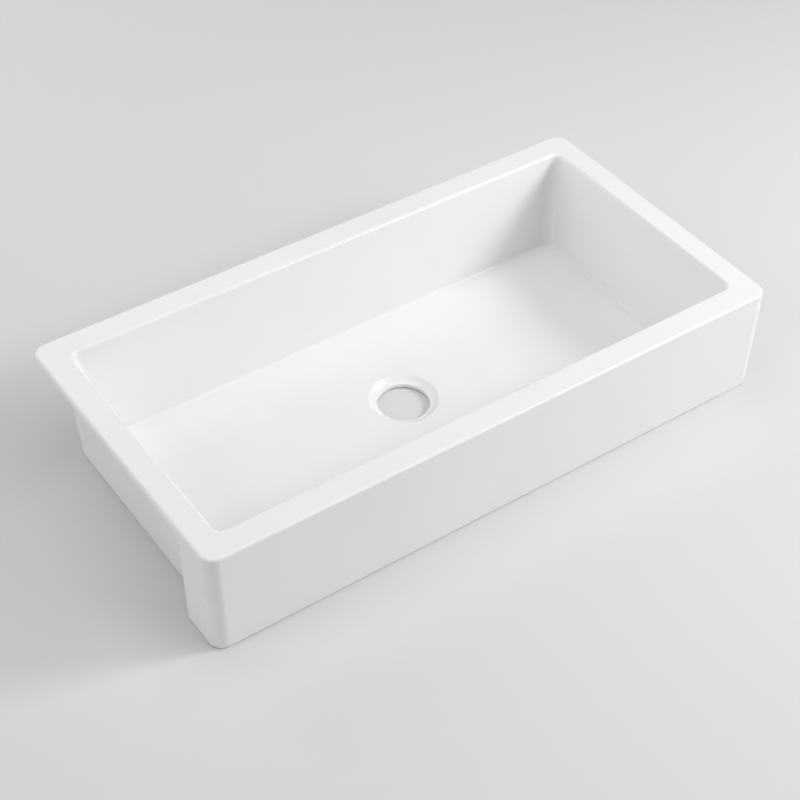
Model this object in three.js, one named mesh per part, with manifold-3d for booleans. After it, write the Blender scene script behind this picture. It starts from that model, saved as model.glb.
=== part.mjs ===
// Farmhouse apron front sink in white glazed fireclay: one large bowl, a flat rim that
// overhangs it on three sides, and a full-width apron with short side returns.
// Millimetres. +X runs along the apron, +Y away from the user, +Z up. The origin lies on the
// standing plane, under the middle of the sink.
// Each mesh is one casting. The castings are stuck to each other while the clay is damp, flat
// face on flat face, and then glazed and fired together.

import * as THREE from 'three';
import { mergeVertices } from 'three/addons/utils/BufferGeometryUtils.js';
import Module from 'manifold-3d';

// ---------------------------------------------------------------- driving dimensions

const sinkWidth = 1067;
const sinkDepth = 549;
const sinkHeight = 196;

const rimThickness = 14;
const sideRimWidth = 44;
const frontRimWidth = 46;
const backRimWidth = 46.5;
const rimCornerRadius = 24;
const rimEdgeRadius = 5;
const openingCornerRadius = 16;
const openingEdgeRadius = 6.5;

const wallThickness = 18;
const innerDraft = 9; // degrees
const outerDraft = 3; // degrees
const outerCornerRadius = 36;
const innerFloorCornerRadius = 24;
const floorThickness = 16; // along the walls
const floorFall = 2; // how much lower the floor is at the outlet
const floorFillet = 8;

const footHeight = 4;
const footWidth = 26;
const footEdgeRadius = 3;

const outletDiameter = 89; // takes a 3 1/2 in basket waste
const outletSetBack = 7; // from the middle of the bowl towards its back
const outletEdgeRadius = 2;
const recessWidth = 12.5; // seat of the waste's flange, round the bore
const recessDepth = 8;
const bossWidth = 24.5; // land for the waste's washer, round the bore
const bossClearance = 1; // from the boss down to the standing plane
const bossEdgeRadius = 1.5;

const apronThickness = 12;
const apronReturnDepth = 85;
const apronEndDraft = 4; // how far each end of the apron draws in at the foot
const apronEdgeRadius = 3;
const returnTopFillet = 22;
const returnToeRadius = 6;

const webThickness = 10;
const webFootHeight = 66; // lower end of a web, above the standing plane
const webArchRise = 12;
const frontWebCount = 4;
const jointGap = 0.3; // slip joint on a sloping face
const smallestCornerRadius = 2;

const cornerSteps = 10; // facets in a quarter turn, seen from above
const edgeSteps = 6; // facets in the rounding of an edge
const outletSteps = 64;
const roundedShare = 0.9; // most of a thickness that its rounded edges may take together

// ---------------------------------------------------------------- places worked out from them

const rimUnderside = sinkHeight - rimThickness;
const sinkFront = -sinkDepth / 2;
const sinkOutline = {
  left: -sinkWidth / 2,
  right: sinkWidth / 2,
  front: sinkFront,
  back: sinkDepth / 2,
};
const openingOutline = {
  left: sinkOutline.left + sideRimWidth,
  right: sinkOutline.right - sideRimWidth,
  front: sinkOutline.front + frontRimWidth,
  back: sinkOutline.back - backRimWidth,
};
const returnBackEdge = sinkFront + apronReturnDepth;
const worktopStart = returnBackEdge + returnTopFillet; // the rim's underside is free from here
const outletRadius = outletDiameter / 2;
const outletCentre = new THREE.Vector2(
  (openingOutline.left + openingOutline.right) / 2,
  (openingOutline.front + openingOutline.back) / 2 + outletSetBack,
);
const floorHeight = footHeight + floorThickness;
const floorAtOutlet = floorHeight - floorFall;
const innerSlope = Math.tan(THREE.MathUtils.degToRad(innerDraft));
const outerSlope = Math.tan(THREE.MathUtils.degToRad(outerDraft));
const cutMargin = 20; // how far a cutting shape runs past what it cuts

// ---------------------------------------------------------------- materials

function glaze() {
  return new THREE.MeshStandardMaterial({ color: 0xf3f4f3, roughness: 0.12, metalness: 0 });
}

function bareFireclay() {
  return new THREE.MeshStandardMaterial({ color: 0xe6e0d3, roughness: 0.85, metalness: 0 });
}

// ---------------------------------------------------------------- sections and skins

// The inner and outer faces of the bowl, as insets from the rim's opening at a height.
function innerWallInset(height) {
  return (sinkHeight - height) * innerSlope;
}

function outerWallInset(height) {
  return (sinkHeight - height) * outerSlope - wallThickness;
}

// A section is drawn as corners { inset, height, radius }, and each corner with a radius
// becomes an arc that meets both of its sides. A section that begins or ends with an arc has
// one more corner there, for the arc's direction only, which is sliced off.
function roundedSection(corners) {
  const section = [];
  corners.forEach((corner, index) => {
    const point = new THREE.Vector2(corner.inset, corner.height);
    if (!corner.radius) {
      section.push(point);
      return;
    }
    const before = corners[index - 1];
    const after = corners[index + 1];
    const toBefore = new THREE.Vector2(before.inset, before.height).sub(point).normalize();
    const toAfter = new THREE.Vector2(after.inset, after.height).sub(point).normalize();
    const halfAngle = Math.acos(toBefore.dot(toAfter)) / 2;
    const bisector = toBefore.clone().add(toAfter).normalize();
    const centre = point.clone().addScaledVector(bisector, corner.radius / Math.sin(halfAngle));
    const start = point.clone().addScaledVector(toBefore, corner.radius / Math.tan(halfAngle));
    const turn = (Math.PI - 2 * halfAngle) * Math.sign(toAfter.cross(toBefore));
    for (let step = 0; step <= edgeSteps; step++) {
      section.push(start.clone().rotateAround(centre, (turn * step) / edgeSteps));
    }
  });
  return section;
}

// The corner radius that a round corner is left with when its outline is drawn in.
function drawnInRadius(radius, inset) {
  return Math.max(radius - inset, smallestCornerRadius);
}

// A rectangle with round corners, drawn in by an inset, counterclockwise seen from above.
// A ring with a side station has one more point on each side, at that distance along Y.
function roundedRing(outline, inset, radius, height, sideStation) {
  const left = outline.left + inset + radius;
  const right = outline.right - inset - radius;
  const front = outline.front + inset + radius;
  const back = outline.back - inset - radius;
  const centres = [[right, back], [left, back], [left, front], [right, front]];
  const ring = [];
  centres.forEach(([x, y], quarter) => {
    for (let step = 0; step <= cornerSteps; step++) {
      const angle = ((quarter + step / cornerSteps) * Math.PI) / 2;
      ring.push(new THREE.Vector3(x + radius * Math.cos(angle), y + radius * Math.sin(angle), height));
    }
    if (sideStation !== undefined && (quarter === 1 || quarter === 3)) {
      ring.push(new THREE.Vector3(ring.at(-1).x, sideStation, height));
    }
  });
  return ring;
}

// A small round ring about the outlet, its points in line with those of a larger ring.
function outletRing(largeRing, radius, height) {
  return largeRing.map((point) => {
    const direction = new THREE.Vector2(point.x, point.y).sub(outletCentre).setLength(radius);
    return new THREE.Vector3(outletCentre.x + direction.x, outletCentre.y + direction.y, height);
  });
}

// A closed skin over rings of equally many points. In a loop the last ring meets the first,
// and otherwise both end rings are filled.
function loft(rings, isLoop) {
  const count = rings[0].length;
  const indices = [];
  const spans = isLoop ? rings.length : rings.length - 1;
  for (let row = 0; row < spans; row++) {
    const lower = row * count;
    const upper = ((row + 1) % rings.length) * count;
    for (let column = 0; column < count; column++) {
      const next = (column + 1) % count;
      indices.push(lower + column, lower + next, upper + next);
      indices.push(lower + column, upper + next, upper + column);
    }
  }
  if (!isLoop) {
    const lastRing = (rings.length - 1) * count;
    for (const [a, b, c] of THREE.ShapeUtils.triangulateShape(rings[0], [])) {
      indices.push(c, b, a);
    }
    for (const [a, b, c] of THREE.ShapeUtils.triangulateShape(rings.at(-1), [])) {
      indices.push(lastRing + a, lastRing + b, lastRing + c);
    }
  }
  const geometry = new THREE.BufferGeometry().setFromPoints(rings.flat());
  geometry.setIndex(indices);
  return geometry;
}

// A plate whose outline is drawn in a plane across the X or the Y axis, height upwards.
function plateAcrossX(shape, fromX, toX) {
  const plate = new THREE.ExtrudeGeometry(shape, { depth: toX - fromX, bevelEnabled: false });
  const drawingPlane = new THREE.Matrix4().makeBasis(
    new THREE.Vector3(0, 1, 0),
    new THREE.Vector3(0, 0, 1),
    new THREE.Vector3(1, 0, 0),
  );
  return plate.applyMatrix4(drawingPlane).translate(fromX, 0, 0);
}

function plateAcrossY(shape, fromY, toY) {
  const plate = new THREE.ExtrudeGeometry(shape, { depth: toY - fromY, bevelEnabled: false });
  return plate.rotateX(Math.PI / 2).translate(0, toY, 0);
}

// ---------------------------------------------------------------- joining and cutting

const manifoldLibrary = await Module();
manifoldLibrary.setup();

function toSolid(geometry) {
  const bare = geometry.clone();
  bare.deleteAttribute('normal');
  bare.deleteAttribute('uv');
  const welded = mergeVertices(bare, 1e-4);
  return new manifoldLibrary.Manifold(new manifoldLibrary.Mesh({
    numProp: 3,
    vertProperties: new Float32Array(welded.attributes.position.array),
    triVerts: new Uint32Array(welded.index.array),
  }));
}

function toGeometry(solid) {
  const mesh = solid.getMesh();
  const geometry = new THREE.BufferGeometry();
  geometry.setAttribute('position', new THREE.BufferAttribute(mesh.vertProperties, mesh.numProp));
  geometry.setIndex(new THREE.BufferAttribute(mesh.triVerts, 1));
  return geometry;
}

// ---------------------------------------------------------------- rim

// The flat frame round the bowl's opening. Its outer upper edge and the edge of the opening
// are rounded, and the opening already has the slope of the bowl's walls. The underside is
// divided into the seat of the bowl and, outside it and behind the returns, the free land that
// lies on the worktop.
function rimGeometry() {
  const outerEdge = Math.min(rimEdgeRadius, roundedShare * rimThickness);
  const openingEdge = Math.min(openingEdgeRadius, roundedShare * rimThickness);
  const outside = roundedSection([
    { inset: 0, height: rimUnderside },
    { inset: 0, height: sinkHeight, radius: outerEdge },
    { inset: outerEdge + cutMargin, height: sinkHeight },
  ]).slice(0, -1);
  const opening = roundedSection([
    { inset: -openingEdge - cutMargin, height: sinkHeight },
    { inset: innerWallInset(sinkHeight), height: sinkHeight, radius: openingEdge },
    { inset: innerWallInset(rimUnderside), height: rimUnderside },
  ]).slice(1);
  const outerRings = outside.map(({ x: inset, y: height }) => {
    const radius = drawnInRadius(rimCornerRadius, inset);
    return roundedRing(sinkOutline, inset, radius, height, worktopStart);
  });
  const openingRings = opening.map(({ x: inset, y: height }) => (
    roundedRing(openingOutline, inset, innerCornerRadius(inset), height, worktopStart)
  ));
  const seatInset = outerWallInset(rimUnderside);
  const seatRing = roundedRing(openingOutline, seatInset, outerCornerRadius, rimUnderside, worktopStart);
  return loft([...outerRings, ...openingRings, seatRing], true);
}

// ---------------------------------------------------------------- bowl

const wallFootInset = innerWallInset(floorHeight);

// The upright inner corners open out as they go down, and the floor's corners keep the
// distance of the fillet from them.
function innerCornerRadius(inset) {
  if (inset > wallFootInset) {
    return drawnInRadius(innerFloorCornerRadius, inset - wallFootInset);
  }
  const share = Math.max(inset, 0) / wallFootInset;
  const wallRadius = THREE.MathUtils.lerp(openingCornerRadius, innerFloorCornerRadius, share);
  return wallRadius - Math.min(inset, 0);
}

// The way down the middle of the floor: the seat for the waste's flange, and the bore.
function outletCutter() {
  const seatSlope = recessDepth / recessWidth;
  const topRadius = outletRadius + recessWidth + cutMargin;
  const section = roundedSection([
    { inset: topRadius, height: floorAtOutlet + cutMargin * seatSlope },
    { inset: outletRadius, height: floorAtOutlet - recessDepth, radius: outletEdgeRadius },
    { inset: outletRadius, height: -cutMargin },
  ]);
  const profile = [
    new THREE.Vector2(0, section[0].y),
    ...section,
    new THREE.Vector2(0, -cutMargin),
  ].reverse();
  return new THREE.LatheGeometry(profile, outletSteps)
    .rotateX(Math.PI / 2)
    .translate(outletCentre.x, outletCentre.y, 0);
}

// A shell with sloping walls on a raised foot. Its floor falls gently to the outlet.
function bowlGeometry() {
  const footInnerInset = outerWallInset(0) + footWidth;
  const outside = roundedSection([
    { inset: footInnerInset, height: footHeight },
    { inset: footInnerInset, height: 0 },
    { inset: outerWallInset(0), height: 0, radius: footEdgeRadius },
    { inset: outerWallInset(rimUnderside), height: rimUnderside },
  ]);
  const inside = roundedSection([
    { inset: innerWallInset(rimUnderside), height: rimUnderside },
    { inset: wallFootInset, height: floorHeight, radius: floorFillet },
    { inset: wallFootInset + floorFillet + cutMargin, height: floorHeight },
  ]).slice(0, -1);
  const outerRings = outside.map(({ x: inset, y: height }) => {
    const withinFoot = Math.max(inset - outerWallInset(0), 0);
    const radius = drawnInRadius(outerCornerRadius, withinFoot);
    return roundedRing(openingOutline, inset, radius, height);
  });
  const innerRings = inside.map(({ x: inset, y: height }) => (
    roundedRing(openingOutline, inset, innerCornerRadius(inset), height)
  ));
  const hubRadius = outletRadius / 2;
  const shell = toSolid(loft([
    outletRing(outerRings[0], hubRadius, footHeight),
    ...outerRings,
    ...innerRings,
    outletRing(innerRings.at(-1), hubRadius, floorAtOutlet),
  ], false));
  return toGeometry(shell.subtract(toSolid(outletCutter())));
}

// The thicker ring under the floor that the waste's nut and washer pull against.
function outletBossGeometry() {
  const bossRadius = outletRadius + bossWidth;
  const edge = Math.min(bossEdgeRadius, roundedShare * (footHeight - bossClearance));
  const section = roundedSection([
    { inset: bossRadius, height: footHeight },
    { inset: bossRadius, height: bossClearance, radius: edge },
    { inset: outletRadius, height: bossClearance },
  ]);
  const profile = [...section, new THREE.Vector2(outletRadius, footHeight), section[0]].reverse();
  return new THREE.LatheGeometry(profile, outletSteps)
    .rotateX(Math.PI / 2)
    .translate(outletCentre.x, outletCentre.y, 0);
}

// ---------------------------------------------------------------- apron

// How far the ends of the apron have drawn in at a height.
function apronEndInset(height) {
  return apronEndDraft * (1 - height / rimUnderside);
}

// The apron from above at a height: its face, two round corners and two returns, all one wall
// thick. The edge inset thins the wall from both sides. The returns run on past their back
// edge, which is cut afterwards.
function apronRing(edgeInset, height) {
  const returnEnd = worktopStart + cutMargin;
  const left = sinkOutline.left + apronEndInset(height);
  const right = sinkOutline.right - apronEndInset(height);
  const [outer, inner] = [edgeInset, apronThickness - edgeInset].map((inset) => {
    const radius = drawnInRadius(rimCornerRadius, inset);
    const path = [new THREE.Vector3(left + inset, returnEnd, height)];
    const corners = [
      { x: left + inset + radius, startAngle: Math.PI },
      { x: right - inset - radius, startAngle: 1.5 * Math.PI },
    ];
    for (const { x, startAngle } of corners) {
      for (let step = 0; step <= cornerSteps; step++) {
        const angle = startAngle + (step / cornerSteps) * (Math.PI / 2);
        const y = sinkFront + inset + radius;
        path.push(new THREE.Vector3(x + radius * Math.cos(angle), y + radius * Math.sin(angle), height));
      }
    }
    path.push(new THREE.Vector3(right - inset, returnEnd, height));
    return path;
  });
  return [...outer, ...inner.reverse()];
}

// What is cut away behind the returns: their back edge flares into the rim above and is
// rounded at the toe.
function returnCutter() {
  const toeStart = returnBackEdge - returnToeRadius;
  const flareStart = rimUnderside - returnTopFillet;
  const shape = new THREE.Shape();
  shape.moveTo(toeStart, -cutMargin);
  shape.lineTo(toeStart, 0);
  shape.absarc(toeStart, returnToeRadius, returnToeRadius, -Math.PI / 2, 0);
  shape.absarc(worktopStart, flareStart, returnTopFillet, Math.PI, Math.PI / 2, true);
  shape.lineTo(worktopStart + 2 * cutMargin, rimUnderside);
  shape.lineTo(worktopStart + 2 * cutMargin, -cutMargin);
  return plateAcrossX(shape, sinkOutline.left - cutMargin, sinkOutline.right + cutMargin);
}

function apronGeometry() {
  const edge = Math.min(apronEdgeRadius, (roundedShare * apronThickness) / 2);
  const rings = [];
  for (let step = 0; step <= edgeSteps; step++) {
    const angle = (step / edgeSteps) * (Math.PI / 2);
    rings.push(apronRing(edge * (1 - Math.sin(angle)), edge * (1 - Math.cos(angle))));
  }
  rings.push(apronRing(0, rimUnderside));
  return toGeometry(toSolid(loft(rings, false)).subtract(toSolid(returnCutter())));
}

// ---------------------------------------------------------------- webs

// A web hangs under the rim and ties the apron to the bowl. Its two upright edges follow their
// faces, and its lower edge is a shallow arch.
function webShape(apronFaceAt, bowlFaceAt) {
  const apronFoot = apronFaceAt(webFootHeight);
  const bowlFoot = bowlFaceAt(webFootHeight);
  const shape = new THREE.Shape();
  shape.moveTo(apronFaceAt(rimUnderside), rimUnderside);
  shape.lineTo(apronFoot, webFootHeight);
  shape.quadraticCurveTo(
    (apronFoot + bowlFoot) / 2,
    webFootHeight + 2 * webArchRise,
    bowlFoot,
    webFootHeight,
  );
  shape.lineTo(bowlFaceAt(rimUnderside), rimUnderside);
  return shape;
}

// A web between the back of the apron and the front of the bowl.
function frontWebGeometry(middleX) {
  const apronBackAt = () => sinkFront + apronThickness;
  const bowlFrontAt = (height) => openingOutline.front + outerWallInset(height) - jointGap;
  const from = middleX - webThickness / 2;
  return plateAcrossX(webShape(apronBackAt, bowlFrontAt), from, from + webThickness);
}

// A web between a return of the apron and the end of the bowl. Side is -1 on the left and 1 on
// the right.
function returnWebGeometry(side) {
  const returnInset = (height) => apronEndInset(height) + apronThickness + jointGap;
  const bowlInset = (height) => sideRimWidth + outerWallInset(height) - jointGap;
  const returnFaceAt = (height) => side * (sinkWidth / 2 - returnInset(height));
  const bowlEndAt = (height) => side * (sinkWidth / 2 - bowlInset(height));
  const middleY = (sinkFront + apronThickness + returnBackEdge) / 2;
  const from = middleY - webThickness / 2;
  return plateAcrossY(webShape(returnFaceAt, bowlEndAt), from, from + webThickness);
}

// ---------------------------------------------------------------- assembly

const sink = new THREE.Group();

function addPiece(name, geometry, material) {
  const piece = new THREE.Mesh(geometry, material);
  piece.name = name;
  sink.add(piece);
}

addPiece('rim', rimGeometry(), glaze());
addPiece('bowl', bowlGeometry(), glaze());
addPiece('outlet_boss', outletBossGeometry(), bareFireclay());
addPiece('apron_front', apronGeometry(), glaze());

const webSpacing = (openingOutline.right - openingOutline.left) / frontWebCount;
for (let index = 0; index < frontWebCount; index++) {
  const middleX = openingOutline.left + (index + 0.5) * webSpacing;
  addPiece(`front_web_${index + 1}`, frontWebGeometry(middleX), bareFireclay());
}
addPiece('return_web_left', returnWebGeometry(-1), bareFireclay());
addPiece('return_web_right', returnWebGeometry(1), bareFireclay());

export default sink;
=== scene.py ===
"""Looks of the farmhouse apron front sink: the glazed castings with their rounded edges and
slip fillets, the bare clay underneath, and the studio that they stand in. Metres."""

import math

import bmesh
import bpy
from mathutils import Matrix, Vector


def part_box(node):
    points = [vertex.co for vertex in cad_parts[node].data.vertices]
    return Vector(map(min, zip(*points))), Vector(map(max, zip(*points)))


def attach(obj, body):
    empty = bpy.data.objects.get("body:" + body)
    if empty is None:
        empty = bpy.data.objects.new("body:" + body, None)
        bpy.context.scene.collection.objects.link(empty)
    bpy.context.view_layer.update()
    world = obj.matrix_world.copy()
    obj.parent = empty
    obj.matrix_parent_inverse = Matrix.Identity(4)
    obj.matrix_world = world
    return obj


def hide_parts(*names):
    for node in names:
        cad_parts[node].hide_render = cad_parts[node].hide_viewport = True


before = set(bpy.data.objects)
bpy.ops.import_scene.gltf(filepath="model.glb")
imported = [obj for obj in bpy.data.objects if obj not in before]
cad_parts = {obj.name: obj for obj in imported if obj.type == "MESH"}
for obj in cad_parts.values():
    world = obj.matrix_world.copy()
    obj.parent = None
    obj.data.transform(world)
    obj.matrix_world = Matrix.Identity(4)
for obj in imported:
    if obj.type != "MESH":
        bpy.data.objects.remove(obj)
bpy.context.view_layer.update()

# ------------------------------------------------------------------ places taken from the frame

rim_low, rim_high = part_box("rim")
boss_low, boss_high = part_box("outlet_boss")

TOP = rim_high.z
RIM_UNDERSIDE = rim_low.z
BOSS_TOP = boss_high.z
BOSS_UNDERSIDE = boss_low.z
BOSS_RADIUS = (boss_high.x - boss_low.x) / 2
OUTLET = (boss_low + boss_high) / 2

# ------------------------------------------------------------------ sizes of the castings

SIDE_RIM_WIDTH = 0.044
FRONT_RIM_WIDTH = 0.046
BACK_RIM_WIDTH = 0.0465
RIM_CORNER_RADIUS = 0.024
RIM_EDGE_RADIUS = 0.005
RIM_LOWER_EDGE_RADIUS = 0.0018
RIM_LOWER_EDGE_ROOM = 1.5 * RIM_LOWER_EDGE_RADIUS  # the height that its rounding is kept within
RIM_FADE_LENGTH = 0.020  # in which that rounding grows to its full size, behind the returns
OPENING_CORNER_RADIUS = 0.016
OPENING_EDGE_RADIUS = 0.0065

WALL_THICKNESS = 0.018
INNER_SLOPE = math.tan(math.radians(9))
OUTER_SLOPE = math.tan(math.radians(3))
OUTER_CORNER_RADIUS = 0.036
SLIP_FILLET = 0.006  # slip smoothed into the corner between the wall and the rim
FLOOR_CORNER_RADIUS = 0.024
FLOOR_FILLET = 0.006
FLOOR_HEIGHT = 0.020
FOOT_WIDTH = 0.026  # of the raised ring that the bowl stands on
FOOT_EDGE_RADIUS = 0.003
FOOT_INNER_EDGE_RADIUS = 0.001

OUTLET_RADIUS = 0.0445
OUTLET_EDGE_RADIUS = 0.001
BOSS_SETBACK = 0.0008  # the boss was cut a little wider than the bore
BOSS_EDGE_RADIUS = 0.0013
GLAZED_BORE_RADIUS = OUTLET_RADIUS + BOSS_SETBACK + BOSS_EDGE_RADIUS

# The seat of the waste's flange is a shallow cove round the bore. It lies in a wider, still
# shallower dish in the floor.
SEAT_RADIUS = 0.0595
SEAT_FLAT_RADIUS = 0.0505
SEAT_COVE_RADIUS = 0.020
SEAT_EDGE_RADIUS = 0.0016
SEAT_HEIGHT = 0.0092
SEAT_FALL = 0.0022
SEAT_RIM_HEIGHT = 0.0182
DISH_RADIUS = 0.080
DISH_EDGE_RADIUS = 0.060
DISH_HEIGHT = 0.0192

APRON_THICKNESS = 0.012
APRON_END_DRAFT = 0.004
APRON_END_CURVE = 1.2  # 1 draws the ends in along a straight line
APRON_END_LEVELS = (0, 0.15, 0.3, 0.45, 0.6, 0.75)  # shares of the height where it is cut
APRON_EDGE_RADIUS = 0.0045
RETURN_DEPTH = 0.085
RETURN_TOP_FILLET = 0.022
RETURN_TOE_RADIUS = 0.006

SMALLEST_RADIUS = 0.002
CORNER_SEGMENTS = 14  # in a quarter turn, seen from above
EDGE_SEGMENTS = 8  # in the rounding of an edge
OUTLET_SEGMENTS = 96
FADE_STEPS = 5  # lengths that the fade at the rim's lower edge is cut into
ROUNDING_STEPS = 10  # sizes of rounding that one set of edges can have
SQUARE_CORNER = math.radians(60)  # an edge that turns more is sharp
SMOOTH_LIMIT = math.radians(40)  # an edge that turns less is shaded smooth
SAME_PLACE = 1e-5

SINK = (rim_low.x, rim_high.x, rim_low.y, rim_high.y)  # left, right, front, back
OPENING = (
    SINK[0] + SIDE_RIM_WIDTH,
    SINK[1] - SIDE_RIM_WIDTH,
    SINK[2] + FRONT_RIM_WIDTH,
    SINK[3] - BACK_RIM_WIDTH,
)
RETURN_BACK_EDGE = SINK[2] + RETURN_DEPTH
WORKTOP_START = RETURN_BACK_EDGE + RETURN_TOP_FILLET  # the rim's underside is free from here
APRON_SIZE = Vector((SINK[1] - SINK[0], WORKTOP_START - SINK[2], RIM_UNDERSIDE))
APRON_CENTRE = Vector((SINK[0] + SINK[1], SINK[2] + WORKTOP_START, RIM_UNDERSIDE)) / 2


def inner_wall_inset(height):
    """How far inside the opening the bowl's inner face lies at a height."""
    return (TOP - height) * INNER_SLOPE


def outer_wall_inset(height):
    """The same for the outer face, which near the rim lies outside the opening."""
    return (TOP - height) * OUTER_SLOPE - WALL_THICKNESS


WALL_FOOT_INSET = inner_wall_inset(FLOOR_HEIGHT)


def inner_corner_radius(inset):
    """The upright inner corners open out on the way down and tighten again over the fillet. At
    the top they follow the rounding of the opening's edge outwards."""
    if inset > WALL_FOOT_INSET:
        return max(FLOOR_CORNER_RADIUS - (inset - WALL_FOOT_INSET), SMALLEST_RADIUS)
    share = max(inset, 0) / WALL_FOOT_INSET
    radius = OPENING_CORNER_RADIUS + share * (FLOOR_CORNER_RADIUS - OPENING_CORNER_RADIUS)
    return radius - min(inset, 0)


def rounded_section(corners):
    """The points of a section drawn as (inset, height, radius) corners. A corner with a radius
    becomes an arc that meets both of its sides. A corner at an end only gives the side next to
    it its direction where the caller leaves it out of the result."""
    points = []
    for index, (inset, height, radius) in enumerate(corners):
        corner = Vector((inset, height))
        if not radius:
            points.append(corner)
            continue
        to_before = (Vector(corners[index - 1][:2]) - corner).normalized()
        to_after = (Vector(corners[index + 1][:2]) - corner).normalized()
        half_angle = to_before.angle(to_after) / 2
        centre = corner + (to_before + to_after).normalized() * radius / math.sin(half_angle)
        start = corner + to_before * radius / math.tan(half_angle) - centre
        end = corner + to_after * radius / math.tan(half_angle) - centre
        for step in range(EDGE_SEGMENTS + 1):
            points.append(centre + radius * start.slerp(end, step / EDGE_SEGMENTS))
    return points


# ------------------------------------------------------------------ modelling helpers


def start_piece(name):
    """An empty mesh with that name, open in edit mode, with nothing else selected."""
    bpy.ops.object.select_all(action="DESELECT")
    bpy.ops.object.add(type="MESH", enter_editmode=True)
    piece = bpy.context.object
    piece.name = name
    piece.data.name = name
    return piece


def select_where(kind, wanted):
    """Selects in edit mode the vertices, edges or faces (kind VERT, EDGE or FACE) that pass."""
    bpy.ops.mesh.select_mode(type=kind)
    bpy.ops.mesh.select_all(action="DESELECT")
    mesh = bpy.context.object.data
    work = bmesh.from_edit_mesh(mesh)
    for part in {"VERT": work.verts, "EDGE": work.edges, "FACE": work.faces}[kind]:
        if wanted(part):
            part.select_set(True)
    work.select_flush_mode()
    bmesh.update_edit_mesh(mesh)


def number_new_loop(number):
    """Writes the loop's number on the vertices that have none yet."""
    mesh = bpy.context.object.data
    work = bmesh.from_edit_mesh(mesh)
    loop_number = work.verts.layers.int.get("loop") or work.verts.layers.int.new("loop")
    for vertex in work.verts:
        if vertex[loop_number] == 0:
            vertex[loop_number] = number
    bmesh.update_edit_mesh(mesh)


def add_corner_loop(outline, inset, radius, height):
    """A loop of edges: a rectangle drawn in by an inset, with round corners."""
    left, right, front, back = outline
    centre = ((left + right) / 2, (front + back) / 2, height)
    size = (right - left - 2 * inset, back - front - 2 * inset, 1)
    bpy.ops.mesh.select_mode(type="VERT")
    bpy.ops.mesh.primitive_plane_add(size=1, location=centre)
    bpy.ops.transform.resize(value=size, center_override=centre)
    bpy.ops.mesh.bevel(offset=radius, segments=CORNER_SEGMENTS, affect="VERTICES")
    bpy.ops.mesh.delete(type="ONLY_FACE")


def add_outlet_loop(radius, height):
    """A round loop of edges about the outlet."""
    place = (OUTLET.x, OUTLET.y, height)
    bpy.ops.mesh.primitive_circle_add(vertices=OUTLET_SEGMENTS, radius=radius, location=place)


def skin_over(loops):
    """Adds each loop, given as a function and its arguments with the height last, and joins
    each to the next and the last to the first. Between loops at one height the flat ring is
    filled, and any others are bridged."""
    for number, (add_loop, *arguments) in enumerate(loops, start=1):
        add_loop(*arguments)
        number_new_loop(number)
    for number, loop in enumerate(loops, start=1):
        following = number % len(loops) + 1
        select_where("EDGE", lambda edge: edge_lies_in_loops(edge, (number, following)))
        if abs(loop[-1] - loops[following - 1][-1]) < SAME_PLACE:
            bpy.ops.mesh.fill()
        else:
            bpy.ops.mesh.bridge_edge_loops()
    mesh = bpy.context.object.data
    work = bmesh.from_edit_mesh(mesh)
    work.verts.layers.int.remove(work.verts.layers.int["loop"])
    bmesh.update_edit_mesh(mesh)


def edge_lies_in_loops(edge, numbers):
    """Whether the edge runs along one loop, and that loop's number is among these."""
    work = bmesh.from_edit_mesh(bpy.context.object.data)
    loop_number = work.verts.layers.int["loop"]
    first, second = (vertex[loop_number] for vertex in edge.verts)
    return first == second and first in numbers


def is_square_corner(edge):
    """Whether the edge is still sharp, and not a part of a rounding."""
    return edge.calc_face_angle(0) > SQUARE_CORNER


def round_edges(piece, radius, share_of):
    """Rounds the edges by a share of the radius, from 0 to 1, that a function gives for each."""
    for step in range(1, ROUNDING_STEPS + 1):
        select_where("EDGE", lambda edge: round(ROUNDING_STEPS * share_of(edge)) == step)
        bpy.ops.transform.edge_bevelweight(value=step / ROUNDING_STEPS)
    bpy.ops.object.editmode_toggle()
    bpy.ops.object.modifier_add(type="BEVEL")
    rounding = piece.modifiers[-1]
    rounding.limit_method = "WEIGHT"
    rounding.width = radius
    rounding.segments = EDGE_SEGMENTS
    rounding.use_clamp_overlap = False
    bpy.ops.object.modifier_apply(modifier=rounding.name)
    bpy.ops.object.editmode_toggle()


def finish_piece(piece, material, slot, *nodes):
    """Turns the skin outwards, smooths it, and makes it stand for its CAD nodes."""
    bpy.ops.mesh.select_all(action="SELECT")
    bpy.ops.mesh.remove_doubles(threshold=SAME_PLACE)
    bpy.ops.mesh.normals_make_consistent(inside=False)
    bpy.ops.object.editmode_toggle()
    bpy.ops.object.shade_smooth_by_angle(angle=SMOOTH_LIMIT)
    bpy.ops.object.modifier_add(type="WEIGHTED_NORMAL")
    piece.modifiers[-1].keep_sharp = True
    bpy.ops.object.modifier_apply(modifier=piece.modifiers[-1].name)
    piece.data.materials.append(material)
    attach(piece, "root")
    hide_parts(*nodes)


# ------------------------------------------------------------------ shader helpers


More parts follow.
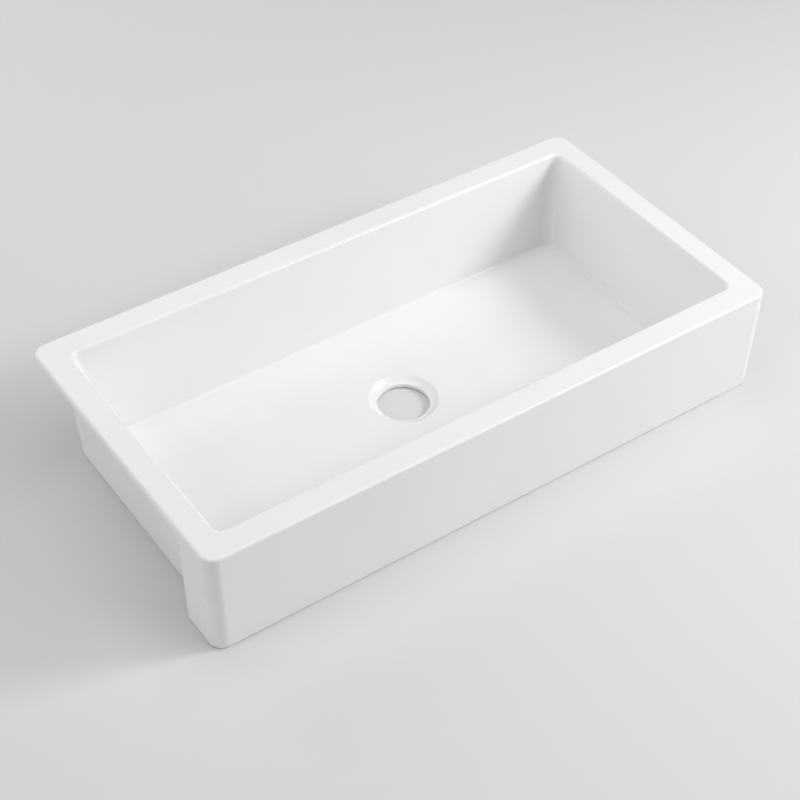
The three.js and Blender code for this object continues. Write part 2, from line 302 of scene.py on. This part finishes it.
class Wire:
    """A value socket. Arithmetic on it adds Math nodes to the material."""

    def __init__(self, finish, socket):
        self.finish = finish
        self.socket = socket

    def maths(self, operation, *values):
        """A Math node on the values."""
        return self.finish.node("ShaderNodeMath", {"operation": operation}, dict(enumerate(values)))

    def __add__(self, other):
        return self.maths("ADD", self, other)

    def __sub__(self, other):
        return self.maths("SUBTRACT", self, other)

    def __rsub__(self, other):
        return self.maths("SUBTRACT", other, self)

    def __mul__(self, other):
        return self.maths("MULTIPLY", self, other)

    __radd__ = __add__
    __rmul__ = __mul__

    def __lt__(self, other):
        return self.maths("LESS_THAN", self, other)

    def absolute(self):
        return self.maths("ABSOLUTE", self)

    def step_between(self, low, high):
        """0 below low and 1 above high, with a smooth rise between them."""
        settings = {"interpolation_type": "SMOOTHSTEP"}
        sockets = {"Value": self, "From Min": low, "From Max": high}
        return self.finish.node("ShaderNodeMapRange", settings, sockets)


class Finish:
    """A material, and the nodes that make its pattern."""

    def __init__(self, name):
        self.material = bpy.data.materials.new(name)
        self.material.use_nodes = True
        self.tree = self.material.node_tree
        self.tree.nodes.clear()
        self.place = self.node("ShaderNodeTexCoord", output="Object")

    def coordinates(self):
        """The place's x, y and z in the frame, where every new piece has its origin."""
        split = self.node("ShaderNodeSeparateXYZ", None, {"Vector": self.place})
        return [Wire(self, output) for output in split.socket.node.outputs]

    def node(self, kind, settings=None, sockets=None, output=0):
        """A node of that kind: its settings first, then the values or links of its sockets."""
        node = self.tree.nodes.new(kind)
        for name, value in (settings or {}).items():
            setattr(node, name, value)
        for name, value in (sockets or {}).items():
            if isinstance(value, Wire):
                self.tree.links.new(value.socket, node.inputs[name])
            else:
                node.inputs[name].default_value = value
        return Wire(self, node.outputs[output])

    def noise(self, size, detail=2.0, roughness=0.5):
        """Noise from 0 to 1 whose features are about that size, in metres."""
        sockets = {"Scale": 1 / size, "Detail": detail, "Roughness": roughness}
        sockets["Vector"] = self.place
        return self.node("ShaderNodeTexNoise", None, sockets)

    def spots(self, spacing, radius):
        """1 inside small round spots that lie about that far apart, and 0 between them."""
        sockets = {"Vector": self.place, "Scale": 1 / spacing}
        distance = self.node("ShaderNodeTexVoronoi", {"feature": "F1"}, sockets, "Distance")
        return 1 - distance.step_between(0.5 * radius / spacing, radius / spacing)

    def mix(self, share, first, second):
        """A colour between two colours. Of a Mix node's sockets, 6 and 7 take the colours, and
        output 2 gives the result."""
        settings = {"data_type": "RGBA"}
        sockets = {0: share, 6: first, 7: second}
        return self.node("ShaderNodeMix", settings, sockets, 2)

    def bump(self, height, depth, under=None):
        """A normal from a height that runs from 0 to 1, over that depth in metres. It can lie on
        top of another bump."""
        sockets = {"Height": height, "Distance": depth}
        if under:
            sockets["Normal"] = under
        return self.node("ShaderNodeBump", None, sockets)

    def surface(self, shader):
        """The material, finished with that shader."""
        output = self.tree.nodes.new("ShaderNodeOutputMaterial")
        self.tree.links.new(shader.socket, output.inputs["Surface"])
        return self.material


# ------------------------------------------------------------------ finishes

GLAZE_WHITE = (0.845, 0.848, 0.842, 1)
GLAZE_POOLED = (0.825, 0.832, 0.832, 1)
GLAZE_SPECK = (0.62, 0.58, 0.52, 1)
CLAY_CREAM = (0.66, 0.60, 0.50, 1)
CLAY_PALE = (0.74, 0.69, 0.60, 1)
CLAY_GROG = (0.42, 0.36, 0.28, 1)

GLAZE_ROUGHNESS = 0.17
CLAY_ROUGHNESS = 0.78
BARE_ROUGHNESS_ADDED = 0.75  # what the glaze's roughness gains where it is left off
GLAZE_LINE = (0.0003, 0.0006)  # heights between which the glaze starts above the ground
GLAZE_LINE_WAVE = 0.0004  # how far that line wavers


def clay_colour(finish):
    """Buff fireclay: cloudy, with fine grains and a few darker crumbs of grog."""
    cloud = finish.noise(size=0.060, detail=4, roughness=0.6)
    grain = finish.noise(size=0.0025, detail=3, roughness=0.7)
    crumbs = finish.spots(spacing=0.009, radius=0.0011)
    colour = finish.mix(0.55 * cloud + 0.45 * grain, CLAY_CREAM, CLAY_PALE)
    return finish.mix(0.8 * crumbs, colour, CLAY_GROG)


def make_bare_clay():
    """Fireclay as the sponge and the kiln leave it, matt and a little rough."""
    finish = Finish("bare_fireclay")
    sponge_marks = finish.bump(finish.noise(size=0.030, detail=3), depth=0.0008)
    fine_noise = finish.noise(size=0.0012, detail=4, roughness=0.7)
    grains = finish.bump(fine_noise, depth=0.0003, under=sponge_marks)
    return finish.surface(finish.node("ShaderNodeBsdfPrincipled", None, {
        "Base Color": clay_colour(finish),
        "Roughness": CLAY_ROUGHNESS + 0.16 * finish.noise(size=0.004),
        "Normal": grains,
    }))


def make_glaze():
    """White fireclay glaze. It runs down the bore, and is left off where the foot stands and
    inside the foot, where the bare clay shows."""
    finish = Finish("white_glaze")
    bare = unglazed_share(finish)
    cloud = finish.noise(size=0.180, detail=3).step_between(0.35, 0.75)
    specks = finish.spots(spacing=0.110, radius=0.0007)
    glaze = finish.mix(cloud, GLAZE_WHITE, GLAZE_POOLED)
    glaze = finish.mix(0.5 * specks, glaze, GLAZE_SPECK)
    smears = finish.noise(size=0.050, detail=5, roughness=0.6)
    roughness = GLAZE_ROUGHNESS + 0.06 * smears + 0.02 * finish.noise(size=0.003)

    hand_finish = finish.bump(finish.noise(size=0.140, detail=1), depth=0.0009)
    flow = finish.bump(finish.noise(size=0.022), depth=0.00004, under=hand_finish)
    orange_peel = finish.bump(finish.noise(size=0.004, detail=1), depth=0.000006, under=flow)
    return finish.surface(finish.node("ShaderNodeBsdfPrincipled", None, {
        "Base Color": finish.mix(bare, glaze, clay_colour(finish)),
        "Roughness": roughness + bare * BARE_ROUGHNESS_ADDED,
        "Normal": orange_peel,
        "IOR": 1.5,
    }))


def unglazed_share(finish):
    """1 where the glaze is left off and 0 where it lies."""
    across, along, height = finish.coordinates()
    # The underside is told from the rest by a plain box, which also takes in a few millimetres of
    # the foot's rounded outer corners.
    within_opening = (across.absolute() < OPENING[1]) * (along.absolute() < OPENING[3])
    beside = across - OUTLET.x
    behind = along - OUTLET.y
    bore = beside * beside + behind * behind < GLAZED_BORE_RADIUS**2
    underside = within_opening * (height < BOSS_TOP + SAME_PLACE) * (1 - bore)
    uneven_height = height + GLAZE_LINE_WAVE * finish.noise(size=0.010)
    return 1 - uneven_height.step_between(*GLAZE_LINE) * (1 - underside)


# ------------------------------------------------------------------ rim


def model_rim(material):
    """The flat frame round the opening. Behind the returns its lower edge is free, and eased."""
    piece = start_piece("glazed_rim")
    outside = rounded_section([
        (0, RIM_UNDERSIDE, 0),
        (0, RIM_UNDERSIDE + RIM_LOWER_EDGE_ROOM, 0),
        (0, TOP, RIM_EDGE_RADIUS),
        (SIDE_RIM_WIDTH, TOP, 0),
    ])[:-1]
    opening = rounded_section([
        (-SIDE_RIM_WIDTH, TOP, 0),
        (0, TOP, OPENING_EDGE_RADIUS),
        (inner_wall_inset(RIM_UNDERSIDE), RIM_UNDERSIDE, 0),
    ])[1:]
    skin_over([
        (add_corner_loop, SINK, inset, RIM_CORNER_RADIUS - inset, height)
        for inset, height in outside
    ] + [
        (add_corner_loop, OPENING, inset, inner_corner_radius(inset), height)
        for inset, height in opening
    ])
    for step in range(-1, FADE_STEPS + 1):  # the first cut bounds what the fade can bend
        cut = WORKTOP_START + RIM_FADE_LENGTH * step / FADE_STEPS
        bpy.ops.mesh.select_all(action="SELECT")
        bpy.ops.mesh.bisect(plane_co=(0, cut, 0), plane_no=(0, 1, 0))
    round_edges(piece, RIM_LOWER_EDGE_RADIUS, free_lower_edge_share)
    finish_piece(piece, material, "white_glaze", "rim")


def free_lower_edge_share(edge):
    """The rounding starts behind the returns and reaches its full size in a short length."""
    left, right, front, back = OPENING
    at_lower_edge = all(
        abs(corner.co.z - RIM_UNDERSIDE) < SAME_PLACE
        and not (left < corner.co.x < right and front < corner.co.y < back)
        for corner in edge.verts
    ) and is_square_corner(edge)
    middle = (edge.verts[0].co.y + edge.verts[1].co.y) / 2
    share = (middle - WORKTOP_START) / RIM_FADE_LENGTH
    return at_lower_edge * min(max(share, 0), 1)


# ------------------------------------------------------------------ bowl


def model_bowl(material):
    """The shell: sloping walls on a raised foot, a fillet all round the floor, and in the
    middle of the floor a shallow dish, the seat for the waste's flange and the bore."""
    piece = start_piece("glazed_bowl")
    foot_inner_inset = outer_wall_inset(0) + FOOT_WIDTH
    outside = rounded_section([
        (outer_wall_inset(RIM_UNDERSIDE) - WALL_THICKNESS, RIM_UNDERSIDE, 0),
        (outer_wall_inset(RIM_UNDERSIDE), RIM_UNDERSIDE, SLIP_FILLET),
        (outer_wall_inset(0), 0, FOOT_EDGE_RADIUS),
        (foot_inner_inset, 0, FOOT_INNER_EDGE_RADIUS),
        (foot_inner_inset, BOSS_TOP, FOOT_INNER_EDGE_RADIUS),
        (foot_inner_inset + FOOT_WIDTH, BOSS_TOP, 0),
    ])[1:-1]
    inside = rounded_section([
        (inner_wall_inset(RIM_UNDERSIDE), RIM_UNDERSIDE, 0),
        (WALL_FOOT_INSET, FLOOR_HEIGHT, FLOOR_FILLET),
        (WALL_FOOT_INSET + 2 * FLOOR_FILLET, FLOOR_HEIGHT, 0),
    ])[:-1]
    outlet = rounded_section([
        (OUTLET_RADIUS, BOSS_TOP, 0),
        (OUTLET_RADIUS, SEAT_HEIGHT, OUTLET_EDGE_RADIUS),
        (SEAT_FLAT_RADIUS, SEAT_HEIGHT + SEAT_FALL, SEAT_COVE_RADIUS),
        (SEAT_RADIUS, SEAT_RIM_HEIGHT, SEAT_EDGE_RADIUS),
        (DISH_RADIUS, DISH_HEIGHT, DISH_EDGE_RADIUS),
        (2 * DISH_RADIUS, DISH_HEIGHT, 0),
    ])[:-1]
    skin_over([
        (add_corner_loop, OPENING, inset, outer_corner_radius(inset), height)
        for inset, height in outside
    ] + [
        (add_outlet_loop, radius, height) for radius, height in outlet
    ] + [
        (add_corner_loop, OPENING, inset, inner_corner_radius(inset), height)
        for inset, height in reversed(inside)
    ])
    finish_piece(piece, material, "white_glaze", "bowl")


def outer_corner_radius(inset):
    """The outer corners are alike all the way down the wall. Above it they follow the slip fillet
    outwards, and below it the foot inwards."""
    within_foot = max(inset - outer_wall_inset(0), 0)
    flared = max(outer_wall_inset(RIM_UNDERSIDE) - inset, 0)
    return max(OUTER_CORNER_RADIUS - within_foot + flared, SMALLEST_RADIUS)


# ------------------------------------------------------------------ outlet boss


def model_outlet_boss(material):
    """The ring under the floor. Its bore carries on the bowl's, and is glazed like it."""
    piece = start_piece("outlet_boss_ring")
    section = rounded_section([
        (OUTLET_RADIUS + BOSS_SETBACK, BOSS_TOP, 0),
        (OUTLET_RADIUS + BOSS_SETBACK, BOSS_UNDERSIDE, BOSS_EDGE_RADIUS),
        (BOSS_RADIUS, BOSS_UNDERSIDE, BOSS_EDGE_RADIUS),
        (BOSS_RADIUS, BOSS_TOP, 0),
    ])
    skin_over([(add_outlet_loop, radius, height) for radius, height in section])
    finish_piece(piece, material, "white_glaze", "outlet_boss")


# ------------------------------------------------------------------ apron


def model_apron(material):
    """A sheet of three faces is shaped, rounded at the corners, given its wall, and eased."""
    piece = start_piece("glazed_apron")
    add_apron_sheet()
    flare = flare_edge()
    levels = sorted({RIM_UNDERSIDE * share for share in APRON_END_LEVELS} | set(flare))
    draw_in_ends(levels)
    place_return_edges(levels, flare)
    select_where("VERT", lambda vertex: (
        vertex.co.z < SAME_PLACE and vertex.co.y > RETURN_BACK_EDGE - SAME_PLACE
    ))
    bpy.ops.mesh.bevel(offset=RETURN_TOE_RADIUS, segments=EDGE_SEGMENTS, affect="VERTICES")
    select_where("EDGE", is_square_corner)
    bpy.ops.mesh.bevel(offset=RIM_CORNER_RADIUS, segments=CORNER_SEGMENTS)
    thicken_inwards(piece, APRON_THICKNESS)
    round_edges(piece, APRON_EDGE_RADIUS, apron_free_edge_share)
    finish_piece(piece, material, "white_glaze", "apron_front")


def add_apron_sheet():
    """The front and the two ends of a block that reaches back to where the flare stops."""
    bpy.ops.mesh.primitive_cube_add(size=1, location=APRON_CENTRE)
    bpy.ops.transform.resize(value=APRON_SIZE, center_override=APRON_CENTRE)
    select_where("FACE", lambda face: face.normal.y > 0.5 or abs(face.normal.z) > 0.5)
    bpy.ops.mesh.delete(type="FACE")


def draw_in_ends(levels):
    """Cuts the sheet at the levels, and narrows it at each."""
    for height in levels[1:-1]:
        bpy.ops.mesh.select_all(action="SELECT")
        bpy.ops.mesh.bisect(plane_co=(0, 0, height), plane_no=(0, 0, 1))
    for height in levels:
        select_where("VERT", lambda vertex: abs(vertex.co.z - height) < SAME_PLACE)
        narrowed = 1 - apron_end_inset(height) / (APRON_SIZE.x / 2)
        bpy.ops.transform.resize(value=(narrowed, 1, 1), center_override=APRON_CENTRE)


def apron_end_inset(height):
    """The ends leave the rim upright and draw in towards the foot."""
    return APRON_END_DRAFT * (1 - height / RIM_UNDERSIDE) ** APRON_END_CURVE


def flare_edge():
    """How far the top of the return's back edge has flared towards the back, by height."""
    turns = [math.pi / 2 * step / EDGE_SEGMENTS for step in range(EDGE_SEGMENTS + 1)]
    return {
        RIM_UNDERSIDE - RETURN_TOP_FILLET * (1 - math.sin(turn)):
            RETURN_TOP_FILLET * (1 - math.cos(turn))
        for turn in turns
    }


def place_return_edges(levels, flare):
    """Brings the returns' back edges from where the flare stops to their own place."""
    for height in levels:
        select_where("VERT", lambda vertex: (
            abs(vertex.co.z - height) < SAME_PLACE
            and abs(vertex.co.y - WORKTOP_START) < SAME_PLACE
        ))
        back = RETURN_BACK_EDGE + flare.get(height, 0) - WORKTOP_START
        bpy.ops.transform.translate(value=(0, back, 0))


def thicken_inwards(piece, thickness):
    """Gives the sheet a wall whose outer face is the sheet itself."""
    bpy.ops.object.editmode_toggle()
    bpy.ops.object.modifier_add(type="SOLIDIFY")
    wall = piece.modifiers[-1]
    wall.thickness = thickness
    wall.offset = -1
    wall.use_even_offset = True
    bpy.ops.object.modifier_apply(modifier=wall.name)
    bpy.ops.object.editmode_toggle()


def apron_free_edge_share(edge):
    """The edges at the foot and up the back of the returns are rounded. The rounding runs out
    on the flare, which is flush with the rim."""
    middle = (edge.verts[0].co.z + edge.verts[1].co.z) / 2
    below_rim = (RIM_UNDERSIDE - middle) / RETURN_TOP_FILLET
    return is_square_corner(edge) * min(below_rim, 1)


# ------------------------------------------------------------------ webs


def leave_webs_bare(material):
    """The webs keep their CAD shape, in bare clay."""
    for name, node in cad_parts.items():
        if "web" in name:
            node.data.materials.clear()
            node.data.materials.append(material)


# ------------------------------------------------------------------ studio

CAMERA_PLACE = Vector((-1.2620, -1.7475, 2.0297))
CAMERA_AIM = Vector((-0.0573, -0.0630, 0.0980))
CAMERA_ROLL = math.radians(0.99)
CAMERA_LENS = 79.18

FLOOR_SIZE = 5
FLOOR_GREY = (0.685, 0.685, 0.682, 1)
FLOOR_CLOUD = (0.675, 0.676, 0.674, 1)
FLOOR_ROUGHNESS = 0.9
BACKDROP_GREY = (0.70, 0.70, 0.70, 1)
LAMP_AIM = Vector((0, 0, 0.1))


def place_camera():
    """The photograph's point of view."""
    camera = bpy.data.objects.new("camera", bpy.data.cameras.new("camera"))
    bpy.context.scene.collection.objects.link(camera)
    camera.data.lens = CAMERA_LENS
    camera.location = CAMERA_PLACE
    aim = (CAMERA_AIM - CAMERA_PLACE).to_track_quat("-Z", "Y")
    camera.rotation_euler = (aim.to_matrix() @ Matrix.Rotation(CAMERA_ROLL, 3, "Z")).to_euler()
    bpy.context.scene.camera = camera


def lay_floor():
    """A matt, pale, faintly cloudy sheet that keeps the sink's shadow."""
    bpy.ops.object.select_all(action="DESELECT")
    bpy.ops.mesh.primitive_plane_add(size=FLOOR_SIZE)
    floor = bpy.context.object
    floor.name = "studio_floor"
    finish = Finish("studio_floor")
    floor.data.materials.append(finish.surface(finish.node("ShaderNodeBsdfPrincipled", None, {
        "Base Color": finish.mix(finish.noise(size=0.8), FLOOR_GREY, FLOOR_CLOUD),
        "Roughness": FLOOR_ROUGHNESS,
    })))


def hang_softbox(name, azimuth, elevation, distance, size, power):
    """A square lamp that faces the sink, placed in degrees, metres and watts. The azimuth runs
    from the front round by the right."""
    lamp = bpy.data.lights.new(name, "AREA")
    lamp.shape = "SQUARE"
    lamp.size = size
    lamp.energy = power
    box = bpy.data.objects.new(name, lamp)
    bpy.context.scene.collection.objects.link(box)
    turn = math.radians(azimuth)
    lift = math.radians(elevation)
    away = Vector((
        math.sin(turn) * math.cos(lift),
        -math.cos(turn) * math.cos(lift),
        math.sin(lift),
    ))
    box.location = LAMP_AIM + distance * away
    box.rotation_euler = away.to_track_quat("Z", "Y").to_euler()


def light_room(strength):
    """A plain white fill from all round. The camera sees a pale backdrop in its place."""
    world = bpy.data.worlds.new("studio")
    bpy.context.scene.world = world
    world.use_nodes = True
    nodes = world.node_tree.nodes
    fill = nodes["Background"]
    fill.inputs["Color"].default_value = (1, 1, 1, 1)
    fill.inputs["Strength"].default_value = strength
    backdrop = nodes.new("ShaderNodeBackground")
    backdrop.inputs["Color"].default_value = BACKDROP_GREY
    either = nodes.new("ShaderNodeMixShader")
    link = world.node_tree.links.new
    link(nodes.new("ShaderNodeLightPath").outputs["Is Camera Ray"], either.inputs["Fac"])
    link(fill.outputs["Background"], either.inputs[1])
    link(backdrop.outputs["Background"], either.inputs[2])
    link(either.outputs["Shader"], nodes["World Output"].inputs["Surface"])


# ------------------------------------------------------------------ put together

white_glaze = make_glaze()
bare_clay = make_bare_clay()

model_rim(white_glaze)
model_bowl(white_glaze)
model_outlet_boss(white_glaze)
model_apron(white_glaze)
leave_webs_bare(bare_clay)

lay_floor()
light_room(strength=0.10)
hang_softbox("overhead_softbox", azimuth=0, elevation=88, distance=3.0, size=2.6, power=33)
hang_softbox("back_softbox", azimuth=180, elevation=25, distance=3.0, size=2.6, power=14.5)
hang_softbox("back_left_softbox", azimuth=210, elevation=25, distance=3.0, size=2.6, power=17)
hang_softbox("left_softbox", azimuth=270, elevation=28, distance=6.0, size=5.2, power=132)
hang_softbox("front_right_softbox", azimuth=45, elevation=28, distance=6.0, size=5.2, power=167)
hang_softbox("key_softbox", azimuth=60, elevation=32, distance=3.0, size=0.8, power=39)
place_camera()

bpy.context.scene.view_settings.view_transform = "Standard"
